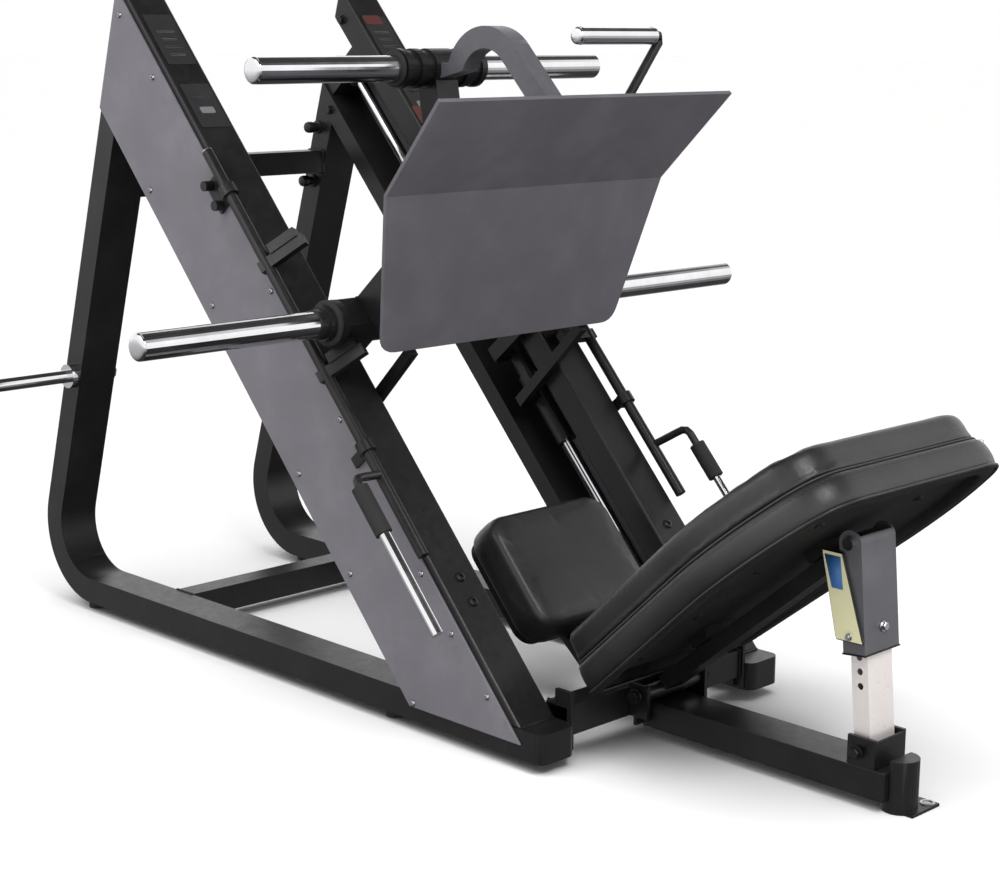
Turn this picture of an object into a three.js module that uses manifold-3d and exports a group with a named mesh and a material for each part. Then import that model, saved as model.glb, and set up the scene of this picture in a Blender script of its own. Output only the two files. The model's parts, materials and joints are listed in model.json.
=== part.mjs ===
// Plate-loaded angled leg press / hack squat machine.
// Millimetres, +Z up, X across the machine, the user sits at the -Y end.
// The origin lies on the floor, in the middle of the machine's footprint.

import * as THREE from 'three';
import { mergeVertices } from 'three/addons/utils/BufferGeometryUtils.js';
import Module from 'manifold-3d';

const wasm = await Module();
wasm.setup();

// ---------------------------------------------------------------- driving dimensions

const weldGap = 0.3;                 // gap left between touching pieces
const wall = 4;                      // wall of the square and flat tubes
const degrees = Math.PI / 180;

// Inclined track: measured along it (s, upwards) and square to it (n, towards the user).
const trackAngle = 48.1 * degrees;
const trackStart = new THREE.Vector2(-244.2, 128.4);

// Side frames.
const frameOuterX = 336;
const tubeWidth = 90;
const frameInnerX = frameOuterX - tubeWidth;
const runnerBottom = 21;
const runnerTop = 76;
const runnerFrontY = -344;
const runnerHeight = runnerTop - runnerBottom;
const uprightLean = 16.4 * degrees;
const bendCentreY = 1038;
const bendRadius = 163;
const footHeight = runnerBottom - weldGap;

// Rails.
const railTop = 1350;
const railDepth = 226;
const frontTubeDepth = 60;
const rearTubeDepth = 40;
const coverThickness = 5;
const coverSetback = 14;
const coverBottom = 49;
const rodX = 287;
const rodN = -121;
const rodRadius = 12.5;
const rodBottomS = 185;
const rodTopS = 1500;
const rodBlockLength = 35;

// Cross members and centre beam.
const frontTubeY = [-322, -267];
const frontTubeZ = [48, 103];
const rearTubeY = 785;
const upperTubeCentre = new THREE.Vector2(948, 971);
const beamHalfWidth = 45;
const beamTop = 72;
const beamFrontY = -850;
const frontFootY = -853;
const frontFootTop = 92;
const floorTabFrontY = -893;

// Carriage.
const crossTubeSize = 60;
const crossTubeS = 743;
const crossTubeN = 90;
const crossTubeHalf = 345;
const hornRadius = 25;
const lowerHornTipX = 781;
const upperHornTipX = 447;
const hubCentre = new THREE.Vector2(286, 1196);
const hubRadius = 38;
const hubHalf = 104;
const plateBottom = new THREE.Vector2(94, 689);
const plateBend = new THREE.Vector2(18, 983);
const plateTop = new THREE.Vector2(-140, 1153);
const plateHalfWidths = { bottom: 314, bend: 368, top: 388 };
const plateThickness = 8;

const grabY = -100;
const grabZ = 1262;

// Safety catches.
const shaftX = 356;
const shaftN = 14;
const shaftRadius = 11;
const catchAngle = { left: 60 * degrees, right: 5 * degrees };
const catchReach = 88;
const catchS = [680, 933];
const handleTurn = 100 * degrees;     // from the catches round to the handle
const handles = {
  left: { offset: 94, crank: 458, grip: [322, 425], end: 122, barRadius: 11 },
  right: { offset: 86, crank: 402, grip: [262, 346], end: 222, barRadius: 8 },
};
const brackets = { lower: [506, 528], upper: [1098, 1166] };

// Back rest, tilted about the hinge pin.
const hingePin = new THREE.Vector2(-345, 92);
const backRestTilt = 40 * degrees;
const padStart = 24.4;               // from the pin to the pad's lower end
const padRise = 20.8;                // from the pin up to the pad's underside
const padLength = 685;
const padHalfWidths = { seatEnd: 225, shoulder: 318, head: 243 };
const padShoulder = 497;
const basePadThickness = 60;
const cushionThickness = 60;
const boardPocket = 30;

// Seat.
const seatHalfWidth = 162;
const seatS = [88, 338];
const seatThickness = 80;
const seatFaceN = 5;

// Adjusting post.
const postTop = new THREE.Vector2(-765, 450.7);
const postBase = new THREE.Vector2(-798.5, 98);
const sleeveHalf = { x: 49, y: 22 };
const sleeveLength = 190;
const innerHalf = { x: 35, y: 16.5 };
const clevisReach = 31;              // from the lower pivot to the front of the clevis

// The machine's footprint is centred on the origin.
const rearmostY = bendCentreY + bendRadius;
const centreShift = -(rearmostY + floorTabFrontY) / 2;

// ---------------------------------------------------------------- materials

const finish = (color, roughness, metalness) =>
  new THREE.MeshStandardMaterial({ color, roughness, metalness });
const finishes = {
  frame: () => finish(0x1d1c1d, 0.42, 0.2),
  cover: () => finish(0x74727a, 0.5, 0.35),
  plate: () => finish(0x5d5a61, 0.55, 0.35),
  chrome: () => finish(0xd9d9dc, 0.12, 1.0),
  vinyl: () => finish(0x2a2728, 0.38, 0.0),
  board: () => finish(0x0f0e0e, 0.8, 0.0),
  rubber: () => finish(0x111111, 0.9, 0.0),
  sleeve: () => finish(0x5a5860, 0.45, 0.35),
  label: () => finish(0xe8e39a, 0.5, 0.0),
};

// ---------------------------------------------------------------- solids

function solid(geometry) {
  geometry.deleteAttribute('normal');
  geometry.deleteAttribute('uv');
  const merged = mergeVertices(geometry, 1e-3);
  return new wasm.Manifold(new wasm.Mesh({
    numProp: 3,
    vertProperties: merged.attributes.position.array,
    triVerts: new Uint32Array(merged.index.array),
  }));
}

function toGeometry(manifold) {
  const mesh = manifold.getMesh();
  const geometry = new THREE.BufferGeometry();
  const positions = new THREE.BufferAttribute(new Float32Array(mesh.vertProperties), 3);
  geometry.setAttribute('position', positions);
  geometry.setIndex(new THREE.BufferAttribute(new Uint32Array(mesh.triVerts), 1));
  geometry.computeVertexNormals();
  return geometry;
}

const join = (first, ...others) => others.reduce((sum, other) => sum.add(other), first);
const cut = (first, ...others) => others.reduce((rest, other) => rest.subtract(other), first);

function block([x0, x1], [y0, y1], [z0, z1]) {
  const geometry = new THREE.BoxGeometry(x1 - x0, y1 - y0, z1 - z0);
  return solid(geometry.translate((x0 + x1) / 2, (y0 + y1) / 2, (z0 + z1) / 2));
}

// A side-view outline in (y, z), drawn out across the machine from x0 to x1.
function sideProfile(shape, [x0, x1], curveSegments = 12) {
  const options = { depth: x1 - x0, bevelEnabled: false, curveSegments };
  const geometry = new THREE.ExtrudeGeometry(shape, options);
  const sideways = new THREE.Matrix4().makeBasis(
    new THREE.Vector3(0, 1, 0), new THREE.Vector3(0, 0, 1), new THREE.Vector3(1, 0, 0));
  return solid(geometry.applyMatrix4(sideways).translate(x0, 0, 0));
}

// A round bar between two points.
function roundBar(from, to, radius, sides = 24) {
  const axis = new THREE.Vector3().subVectors(to, from);
  const geometry = new THREE.CylinderGeometry(radius, radius, axis.length(), sides);
  const upright = new THREE.Vector3(0, 1, 0);
  geometry.applyQuaternion(new THREE.Quaternion().setFromUnitVectors(upright, axis.normalize()));
  const middle = from.clone().add(to).multiplyScalar(0.5);
  return solid(geometry.translate(middle.x, middle.y, middle.z));
}

function crossBar([x0, x1], centre, radius, sides = 24) {
  return roundBar(point(x0, centre), point(x1, centre), radius, sides);
}

// A round bar bent through a chain of points, each inner corner rounded off.
function bentBar(points, radius, cornerLength, sides = 6) {
  const path = new THREE.CurvePath();
  let previous = points[0];
  for (let i = 1; i < points.length - 1; i++) {
    const corner = points[i];
    const towards = (other) => other.clone().sub(corner).setLength(cornerLength).add(corner);
    const inwards = towards(previous);
    const outwards = towards(points[i + 1]);
    path.add(new THREE.LineCurve3(previous, inwards));
    path.add(new THREE.QuadraticBezierCurve3(inwards, corner, outwards));
    previous = outwards;
  }
  path.add(new THREE.LineCurve3(previous, points[points.length - 1]));
  const section = new THREE.Shape().absarc(0, 0, radius, 0, 2 * Math.PI);
  const options = { extrudePath: path, steps: 12, curveSegments: sides };
  return solid(new THREE.ExtrudeGeometry(section, options));
}

const point = (x, yz) => new THREE.Vector3(x, yz.x, yz.y);
const outline = (...points) => new THREE.Shape(points);
const mirrored = (side, [inner, outer]) => (side < 0 ? [-outer, -inner] : [inner, outer]);

// ---------------------------------------------------------------- track, in the (y, z) side view

const alongTrack = new THREE.Vector2(Math.cos(trackAngle), Math.sin(trackAngle));
const offTrack = new THREE.Vector2(-Math.sin(trackAngle), Math.cos(trackAngle));

function onTrack(s, n) {
  return trackStart.clone().addScaledVector(alongTrack, s).addScaledVector(offTrack, n);
}

function trackAtHeight(z, n) {
  return onTrack((z - trackStart.y - n * offTrack.y) / alongTrack.y, n);
}

const uprightAxis = new THREE.Vector2(-Math.sin(uprightLean), Math.cos(uprightLean));
const uprightOut = new THREE.Vector2(Math.cos(uprightLean), Math.sin(uprightLean));
const bendCentre = new THREE.Vector2(bendCentreY, runnerBottom + bendRadius);

// The point of an upright's face, at a radius from the bend's centre, that lies at n off the track.
function uprightAtTrack(radius, n) {
  const foot = bendCentre.clone().addScaledVector(uprightOut, radius);
  const footN = foot.clone().sub(trackStart).dot(offTrack);
  return foot.addScaledVector(uprightAxis, (n - footN) / uprightAxis.dot(offTrack));
}

function trackBlock(xRange, [s0, s1], [n0, n1]) {
  const corners = [onTrack(s0, n0), onTrack(s1, n0), onTrack(s1, n1), onTrack(s0, n1)];
  return sideProfile(outline(...corners), xRange);
}

function trackBar(x, n, [s0, s1], radius, sides = 24) {
  return roundBar(point(x, onTrack(s0, n)), point(x, onTrack(s1, n)), radius, sides);
}

// ---------------------------------------------------------------- fixed frame

// The runner, rear bend and upright are one bent tube; this is its side outline.
function bentTubeOutline(inset, openEnd) {
  const outer = bendRadius - inset;
  const inner = bendRadius - runnerHeight + inset;
  const endN = openEnd - railDepth - weldGap;
  const front = runnerFrontY + Math.max(inset, 0) * 6;
  const top = uprightAtTrack(outer, endN);
  const shape = new THREE.Shape();
  shape.moveTo(front, runnerBottom + inset);
  shape.lineTo(bendCentre.x, runnerBottom + inset);
  shape.absarc(bendCentre.x, bendCentre.y, outer, -Math.PI / 2, uprightLean, false);
  shape.lineTo(top.x, top.y);
  shape.lineTo(...uprightAtTrack(inner, endN).toArray());
  shape.absarc(bendCentre.x, bendCentre.y, inner, uprightLean, -Math.PI / 2, true);
  shape.lineTo(front, runnerTop - inset);
  return shape;
}

function sideFrame(side) {
  const x = mirrored(side, [frameInnerX, frameOuterX]);
  const roundedPlan = slab(roundedPad(x, [runnerFrontY, rearmostY + 100], 20), [0, railTop]);
  const outer = sideProfile(bentTubeOutline(0, 0), x, 14).intersect(roundedPlan);
  const hollowX = mirrored(side, [frameInnerX + wall, frameOuterX - wall]);
  return cut(outer, sideProfile(bentTubeOutline(wall, 20), hollowX, 14));
}

const belowRailTop = (piece) => piece.intersect(block([-400, 400], [-1000, 1500], [0, railTop]));

// A rail tube between two depths. It is cut flat where it stands on the runner, and its top
// follows the upright's rear.
function railTube(side, [n0, n1]) {
  const foot = runnerTop + weldGap;
  const shape = outline(trackAtHeight(foot, n0), uprightAtTrack(bendRadius, n0),
    uprightAtTrack(bendRadius, n1), trackAtHeight(foot, n1));
  const tube = belowRailTop(sideProfile(shape, mirrored(side, [frameInnerX, frameOuterX])));
  const cap = 24;
  const topAt = (n) => uprightAtTrack(bendRadius, n).addScaledVector(alongTrack, -cap);
  const bore = outline(
    trackAtHeight(0, n0 + wall), topAt(n0 + wall), topAt(n1 - wall), trackAtHeight(0, n1 - wall));
  return cut(tube, sideProfile(bore, mirrored(side, [frameInnerX + wall, frameOuterX - wall])));
}

// The rear rail tube carries the two clamping blocks that hold the guide rod's ends.
function rearRailTube(side) {
  const tube = railTube(side, [-railDepth, rearTubeDepth - railDepth]);
  const blockN = [rearTubeDepth - railDepth - 0.5, -frontTubeDepth - weldGap];
  const blockX = mirrored(side, [frameInnerX + 6, frameOuterX - weldGap]);
  const lower = trackBlock(blockX, [rodBottomS - rodBlockLength, rodBottomS], blockN);
  const upper = trackBlock(blockX, [rodTopS, rodTopS + rodBlockLength], blockN);
  return join(tube, lower, upper);
}

function railCover(side) {
  const shape = outline(
    trackAtHeight(coverBottom, -coverSetback),
    uprightAtTrack(bendRadius, -coverSetback),
    uprightAtTrack(bendRadius, -railDepth),
    trackAtHeight(coverBottom, -railDepth));
  const inner = frameOuterX + weldGap;
  return belowRailTop(sideProfile(shape, mirrored(side, [inner, inner + coverThickness])));
}

function guideRod(side) {
  return trackBar(side * rodX, rodN, [rodBottomS + weldGap, rodTopS - weldGap], rodRadius);
}

function squareTube(xRange, yRange, zRange) {
  const inset = ([low, high]) => [low + wall, high - wall];
  const bore = block([xRange[0] - 1, xRange[1] + 1], inset(yRange), inset(zRange));
  return cut(block(xRange, yRange, zRange), bore);
}

const betweenFrames = [-frameInnerX + weldGap, frameInnerX - weldGap];

function upperCrossTube() {
  const half = 25;
  const { x: y, y: z } = upperTubeCentre;
  return squareTube(betweenFrames, [y - half, y + half], [z - half, z + half]);
}

function rearCrossTube() {
  return squareTube(betweenFrames, [rearTubeY, rearTubeY + runnerHeight], [runnerBottom, runnerTop]);
}

// The front cross member ends in tall plates that bolt to the runners and rails.
function frontCrossTube() {
  const tube = squareTube(betweenFrames, frontTubeY, frontTubeZ);
  const boreY = [frontTubeY[0] + wall, frontTubeY[1] - wall];
  const boreZ = [frontTubeZ[0] + wall, frontTubeZ[1] - wall];
  const plates = [-1, 1].map((side) => {
    const plateX = mirrored(side, [betweenFrames[1] - 8, betweenFrames[1]]);
    const bore = block(mirrored(side, [frameInnerX - 20, frameInnerX]), boreY, boreZ);
    return cut(block(plateX, [-329, -289], [runnerBottom + 3, 130]), bore);
  });
  return join(tube, ...plates);
}

// The beam is a tube with a flange at its rear end, standing against the front cross member.
function centreBeam() {
  const rearY = frontTubeY[0] - weldGap;
  const boreX = [-beamHalfWidth + wall, beamHalfWidth - wall];
  const boreZ = [runnerBottom + wall, beamTop - wall];
  const tube = block([-beamHalfWidth, beamHalfWidth], [beamFrontY, rearY], [runnerBottom, beamTop]);
  const flange = block([-72, 72], [rearY - 6, rearY], [runnerBottom + 6, beamTop + 22]);
  return cut(join(tube, flange), block(boreX, [beamFrontY + wall, rearY + 1], boreZ));
}

// A round leg at the beam's end, on a floor plate with an anchor hole. It is cut away where the
// beam and the clevis reach into it.
function frontFoot() {
  const leg = roundBar(
    new THREE.Vector3(0, frontFootY, 0), new THREE.Vector3(0, frontFootY, frontFootTop), 31, 28);
  const beamSpace = block([-50, 50], [beamFrontY - weldGap, 0], [footHeight, 200]);
  const clevisSpace = block([-50, 50], [postBase.x - clevisReach - weldGap, 0], [beamTop, 200]);
  const plate = block([-20, 60], [floorTabFrontY, frontFootY], [0, 5]);
  const holeAt = (z) => new THREE.Vector3(46, floorTabFrontY + 15, z);
  const hole = roundBar(holeAt(-5), holeAt(20), 6, 16);
  return cut(join(leg, plate), beamSpace, clevisSpace, hole);
}

// Two hinge ears on a back plate, and the pin through them.
function hingeBracket() {
  const rearY = frontTubeY[0] - weldGap;
  const earTop = hingePin.y + 20;
  const plateZ = [beamTop + 24, earTop];
  const ears = [-1, 1].map((side) => cut(
    block(mirrored(side, [77, 85]), [hingePin.x - 22, rearY], [50, earTop]),
    block(mirrored(side, [0, 76]), [-1000, 0], [0, 60])));
  const back = block([-85, 85], [rearY - 5, rearY], plateZ);
  const pin = crossBar([-92, 92], hingePin, 8);
  return join(...ears, back, pin);
}

// Rubber foot under the tube; its top follows the tube's underside.
function rubberFoot(side, y) {
  const x = side * (frameOuterX - 38);
  const puck = roundBar(new THREE.Vector3(x, y, 0), new THREE.Vector3(x, y, runnerBottom + 20), 20);
  return cut(puck, sideProfile(bentTubeOutline(-weldGap, 0), [-400, 400], 14));
}

// Storage horn for spare plates: a collar against the upright and a thin bar.
function storageHorn(side) {
  const centre = new THREE.Vector2(1080, 525);
  const root = frameOuterX + weldGap;
  const collar = crossBar(mirrored(side, [root, root + 14]), centre, 26);
  const bar = crossBar(mirrored(side, [root, root + 260]), centre, 14);
  return join(collar, bar);
}

// ---------------------------------------------------------------- seat

// A pad outline with rounded corners, in the plane of the track face.
function roundedPad([x0, x1], [t0, t1], corner) {
  const shape = new THREE.Shape();
  shape.moveTo(x0 + corner, t0);
  shape.absarc(x1 - corner, t0 + corner, corner, -Math.PI / 2, 0, false);
  shape.absarc(x1 - corner, t1 - corner, corner, 0, Math.PI / 2, false);
  shape.absarc(x0 + corner, t1 - corner, corner, Math.PI / 2, Math.PI, false);
  shape.absarc(x0 + corner, t0 + corner, corner, Math.PI, 1.5 * Math.PI, false);
  return shape;
}

// Extrudes a plan outline (x, t) into a slab from n0 to n1.
function slab(shape, [n0, n1], curveSegments = 8) {
  const options = { depth: n1 - n0, bevelEnabled: false, curveSegments };
  return solid(new THREE.ExtrudeGeometry(shape, options).translate(0, 0, n0));
}

function seatPad() {
  const plan = roundedPad([-seatHalfWidth, seatHalfWidth], seatS, 45);
  return slab(plan, [seatFaceN - seatThickness, seatFaceN]);
}

function seatBoard() {
  const inset = 12;
  const boardS = [seatS[0] + inset, seatS[1] - inset];
  const plan = roundedPad([inset - seatHalfWidth, seatHalfWidth - inset], boardS, 35);
  const top = seatFaceN - seatThickness - weldGap;
  return slab(plan, [top - 15, top]);
}

// The seat stands on a bent arm from the front cross member.
function seatSupport() {
  const underN = seatFaceN - seatThickness - weldGap - 15 - weldGap;
  const armHalf = 30;
  const rearY = frontTubeY[1] + weldGap;
  const shape = outline(
    new THREE.Vector2(rearY, frontTubeZ[0]),
    new THREE.Vector2(rearY + 70, frontTubeZ[0]),
    onTrack(290, underN - 40), onTrack(290, underN), onTrack(92, underN),
    new THREE.Vector2(rearY, frontTubeZ[1]));
  return sideProfile(shape, [-armHalf, armHalf]);
}

// ---------------------------------------------------------------- carriage

function carriageCrossTube() {
  const half = crossTubeSize / 2;
  const s = [crossTubeS - half, crossTubeS + half];
  const n = [crossTubeN - half, crossTubeN + half];
  const x = [-crossTubeHalf, crossTubeHalf];
  const inset = ([low, high]) => [low + wall, high - wall];
  const slot = trackBlock([-60, 60], [crossTubeS - 12, crossTubeS + 12], [n[0] - 1, n[0] + 10]);
  const tube = cut(trackBlock(x, s, n), trackBlock(inset(x), inset(s), inset(n)), slot);
  const centre = onTrack(crossTubeS, crossTubeN);
  const hubs = [-1, 1].flatMap((side) => [
    crossBar(mirrored(side, [crossTubeHalf - 1, crossTubeHalf + 14]), centre, 42, 28),
    crossBar(mirrored(side, [crossTubeHalf, crossTubeHalf + 36]), centre, 33, 28),
    crossBar(mirrored(side, [crossTubeHalf + 30, crossTubeHalf + 54]), centre, 28, 28)]);
  return join(tube, ...hubs);
}

function lowerHorn(side) {
  const centre = onTrack(crossTubeS, crossTubeN);
  const root = crossTubeHalf + 54 + weldGap;
  return crossBar(mirrored(side, [root, lowerHornTipX]), centre, hornRadius, 32);
}

function upperHorn(side) {
  return crossBar(mirrored(side, [hubHalf + weldGap, upperHornTipX]), hubCentre, hornRadius, 32);
}

function carriageHub() {
  const barrel = crossBar([-hubHalf, hubHalf], hubCentre, hubRadius - 4, 28);
  const ring = (side, [near, far]) => crossBar(mirrored(side, [near, far]), hubCentre, hubRadius, 28);
  const rings = [-1, 1].flatMap((side) => [ring(side, [hubHalf - 12, hubHalf]), ring(side, [52, 68])]);
  const middle = crossBar([-30, 30], hubCentre, hubRadius, 28);
  return join(barrel, middle, ...rings);
}

function carriageMast() {
  const topS = crossTubeS + crossTubeSize / 2 + weldGap;
  const footRear = onTrack(topS, crossTubeN - 24);
  const footFront = onTrack(topS, crossTubeN + 28);
  const shape = (inset) => outline(
    new THREE.Vector2(footRear.x - inset, footRear.y - inset * 9),
    new THREE.Vector2(hubCentre.x + 28 - inset, hubCentre.y),
    new THREE.Vector2(hubCentre.x - 28 + inset, hubCentre.y),
    new THREE.Vector2(footFront.x + inset, footFront.y - inset * 9));
  const outer = sideProfile(shape(0), [-29, 29]);
  const hollow = sideProfile(shape(wall), [-29 + wall, 29 - wall]);
  return cut(outer, hollow, crossBar([-60, 60], hubCentre, hubRadius + weldGap, 28));
}

const archCrown = new THREE.Vector2(130, 1174);
const archRadius = 104;
const archDepth = 42;
const archHalfWidth = 21;
const archRearTurn = 18 * degrees;
const archFrontTurn = 136.6 * degrees;

// Where the arch's front leg, at a radius from the crown's centre, meets the foot plate's back.
function archFoot(radius) {
  const leave = new THREE.Vector2(Math.cos(archFrontTurn), Math.sin(archFrontTurn));
  const fall = new THREE.Vector2(-leave.y, leave.x);
  leave.multiplyScalar(radius).add(archCrown);
  const behind = plateOffset(plateBend, plateTop, plateThickness + weldGap);
  const normal = plateNormal(plateBend, plateTop);
  return leave.addScaledVector(fall, behind.sub(leave).dot(normal) / fall.dot(normal));
}

// Bent tube from the hub, over a round crown, down to the back of the foot plate.
function carriageArch() {
  const { x: y, y: z } = archCrown;
  const inner = archRadius - archDepth;
  const rearCos = Math.cos(archRearTurn);
  const rearSin = Math.sin(archRearTurn);
  const shape = new THREE.Shape();
  shape.moveTo(hubCentre.x - 28, hubCentre.y + 12);
  shape.lineTo(y + archRadius * rearCos, z + archRadius * rearSin);
  shape.absarc(y, z, archRadius, archRearTurn, archFrontTurn, false);
  shape.lineTo(...archFoot(archRadius).toArray());
  shape.lineTo(...archFoot(inner).toArray());
  shape.absarc(y, z, inner, archFrontTurn, archRearTurn, true);
  shape.lineTo(hubCentre.x - 34, hubCentre.y - 18);
  const tube = sideProfile(shape, [-archHalfWidth, archHalfWidth], 20);
  return cut(tube, crossBar([-60, 60], hubCentre, hubRadius + weldGap, 28));
}

// Unit normal of a foot plate panel in the side view, pointing at the user.
function plateNormal(lower, upper) {
  const along = upper.clone().sub(lower).normalize();
  return new THREE.Vector2(-along.y, along.x);
}

// A point of the panel's plane moved back by a distance.
function plateOffset(lower, upper, back) {
  return lower.clone().addScaledVector(plateNormal(lower, upper), -back);
}

// One flat panel of the foot plate, between two side-view points and two half widths.
function platePanel(lower, upper, lowerHalf, upperHalf, corner) {
  const length = upper.distanceTo(lower);
  const shape = new THREE.Shape();
  shape.moveTo(-lowerHalf + corner, 0);
  shape.lineTo(lowerHalf - corner, 0);
  if (corner > 0) shape.quadraticCurveTo(lowerHalf, 0, lowerHalf + corner * 0.15, corner);
  shape.lineTo(upperHalf, length);
  shape.lineTo(-upperHalf, length);
  if (corner > 0) shape.lineTo(-lowerHalf - corner * 0.15, corner);
  if (corner > 0) shape.quadraticCurveTo(-lowerHalf, 0, -lowerHalf + corner, 0);
  const options = { depth: plateThickness, bevelEnabled: false, curveSegments: 5 };
  const geometry = new THREE.ExtrudeGeometry(shape, options);
  geometry.translate(0, 0, -plateThickness);
  const along = upper.clone().sub(lower).normalize();
  const normal = plateNormal(lower, upper);
  const turn = new THREE.Matrix4().makeBasis(
    new THREE.Vector3(1, 0, 0),
    new THREE.Vector3(0, along.x, along.y),
    new THREE.Vector3(0, normal.x, normal.y));
  geometry.applyMatrix4(turn);
  return solid(geometry.translate(0, lower.x, lower.y));
}

function footPlate() {
  const { bottom, bend, top } = plateHalfWidths;
  const lower = platePanel(plateBottom, plateBend, bottom, bend, 34);
  const upper = platePanel(plateBend, plateTop, bend, top, 0);
  const lowerBack = plateOffset(plateBottom, plateBend, plateThickness)
    .add(plateBend.clone().sub(plateBottom));
  const upperBack = plateOffset(plateBend, plateTop, plateThickness);
  const wedge = sideProfile(outline(plateBend, lowerBack, upperBack), [-bend, bend]);
  return join(lower, upper, wedge);
}

// Side plates that tie the foot plate's back to the cross tube.
function plateGusset(side) {
  const back = plateThickness + weldGap;
  const behindAt = (share) => plateOffset(plateBottom, plateBend, back)
    .addScaledVector(plateBend.clone().sub(plateBottom), share);
  const topS = crossTubeS + crossTubeSize / 2 + weldGap;
  const faceN = crossTubeN + crossTubeSize / 2 + weldGap;
  const shape = outline(behindAt(0.05), onTrack(crossTubeS - 24, faceN), onTrack(topS, faceN),
    onTrack(topS, crossTubeN - 24), behindAt(0.74));
  return sideProfile(shape, mirrored(side, [284, 294]));
}

// Bearing carrier: sleeves that run on the guide rod, with two arms reaching forward out of the rail.
function bearingCarrier(side) {
  const armX = mirrored(side, [222, 240]);
  const reachX = mirrored(side, [230, 300]);
  const lowerArm = sideProfile(outline(
    onTrack(616, -130), onTrack(636, 116), onTrack(656, 116), onTrack(638, -130)), armX);
  const upperArm = trackBlock(armX, [730, 762], [-130, crossTubeN - crossTubeSize / 2 - weldGap]);
  const reaches = [[617, 638], [730, 762]].map((span) => trackBlock(reachX, span, [-135, -107]));
  const sleeves = [[512, 640], [679, 781]].map((span) => trackBar(side * rodX, rodN, span, 21, 20));
  const clamp = trackBar(side * rodX, rodN, [638, 681], 26, 20);
  const bore = trackBar(side * rodX, rodN, [500, 800], rodRadius + 0.7);
  return cut(join(lowerArm, upperArm, ...reaches, ...sleeves, clamp), bore);
}

// A bent rod from a small flange on the foot plate's back to the sideways grip.
function grabHandle() {
  const back = plateOffset(plateBend, plateTop, plateThickness + weldGap);
  const at = (depth) => {
    const foot = back.clone().addScaledVector(plateTop.clone().sub(plateBend), 0.75);
    return point(132, foot.addScaledVector(plateNormal(plateBend, plateTop), -depth));
  };
  const flange = roundBar(at(0), at(5), 17, 20);
  const elbow = new THREE.Vector3(222, grabY, grabZ);
  const gripRoot = new THREE.Vector3(196, grabY, grabZ);
  return join(flange, bentBar([at(3), at(16), elbow, gripRoot], 9, 12));
}

function grabHandleGrip() {
  return roundBar(new THREE.Vector3(195.5, grabY, grabZ), new THREE.Vector3(-11, grabY, grabZ), 16);
}

// ---------------------------------------------------------------- safety catches

// Built around the shaft's own axis: x inwards, y up the track, z off the track.
const besideShaft = (turn, offset, s) =>
  new THREE.Vector3(Math.cos(turn) * offset, s, Math.sin(turn) * offset);

// The shaft with its two catch bars, each with a thick rest pad on top, and the crank of the handle.
function safetyShaft(turn, { offset, crank, grip }) {
  const bar = roundBar(new THREE.Vector3(0, 283, 0), new THREE.Vector3(0, 1205, 0), shaftRadius);
  const catches = catchS.flatMap((s) => [
    block([-16, catchReach], [s - 11, s + 11], [-9, 9]),
    block([18, catchReach - 8], [s + 10, s + 30], [-12, 12])]);
  const arm = bentBar([
    new THREE.Vector3(0, crank, 0),
    besideShaft(turn, offset, crank - 14),
    besideShaft(turn, offset, grip[1] - 5)], 8, 17);
  return join(bar, ...catches, arm);
}

function safetyHandle(turn, { offset, grip, end, barRadius }) {
  const at = (s) => besideShaft(turn, offset, s);
  const bar = roundBar(at(end), at(grip[0] + 6), barRadius, 20);
  const core = roundBar(at(grip[0]), at(grip[1] - 5.5), 7, 16);
  return join(bar, core);
}

function safetyGrip(turn, { offset, grip }) {
  const at = (s) => besideShaft(turn, offset, s);
  const sleeve = roundBar(at(grip[0] + 6.3), at(grip[1]), 16, 20);
  return cut(sleeve, roundBar(at(grip[0] - 9), at(grip[1] + 9), 8.5, 16));
}

// A bracket on the rail cover that the shaft turns in.
function safetyBracket(side, [s0, s1]) {
  const base = frameOuterX + 2 * weldGap + coverThickness;
  const ring = trackBar(side * shaftX, shaftN, [s0, s0 + 22], shaftRadius + 6, 20);
  const web = trackBlock(mirrored(side, [base, base + 7]), [s0, s1], [-44, shaftN]);
  const knobX = mirrored(side, [base, base + 26]);
  const knobS = s1 - s0 < 40 ? [] : [s0 + 10, s1 - 10];
  const knobs = knobS.map((s) => crossBar(knobX, onTrack(s, -30), 10, 16));
  const bore = trackBar(side * shaftX, shaftN, [s0 - 5, s1 + 5], shaftRadius + 0.7);
  return cut(join(ring, web, ...knobs), bore);
}

// ---------------------------------------------------------------- back rest, in its own tilted frame

// Pad plan: x across, t up the pad, narrow at the seat, wide at the shoulders and rounded at the head.
function padPlan(inset, start = 0) {
  const { seatEnd, shoulder, head } = padHalfWidths;
  const corners = [
    [seatEnd - inset, start, 40],
    [shoulder - inset, padShoulder, 150],
    [head - inset * 0.5, padLength - inset, 110]];
  const ring = [...corners, ...corners.map(([x, t, r]) => [-x, t, r]).reverse()];
  const shape = new THREE.Shape();
  ring.forEach(([x, t, radius], i) => {
    const here = new THREE.Vector2(x, t);
    const before = new THREE.Vector2(...ring[(i + ring.length - 1) % ring.length]);
    const after = new THREE.Vector2(...ring[(i + 1) % ring.length]);
    const enter = before.sub(here).setLength(radius * 0.55).add(here);
    const leave = after.sub(here).setLength(radius * 0.55).add(here);
    if (i === 0) shape.moveTo(enter.x, enter.y);
    else shape.lineTo(enter.x, enter.y);
    shape.quadraticCurveTo(here.x, here.y, leave.x, leave.y);
  });
  return shape;
}

// The plan's t axis runs down -Y of the tilted frame.
function padSlab(shape, levels) {
  const flip = new THREE.Matrix4().makeScale(-1, -1, 1);
  const lifted = slab(shape, levels.map((level) => level + padRise), 6);
  const geometry = toGeometry(lifted).applyMatrix4(flip).translate(0, -padStart, 0);
  return solid(geometry);
}

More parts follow.
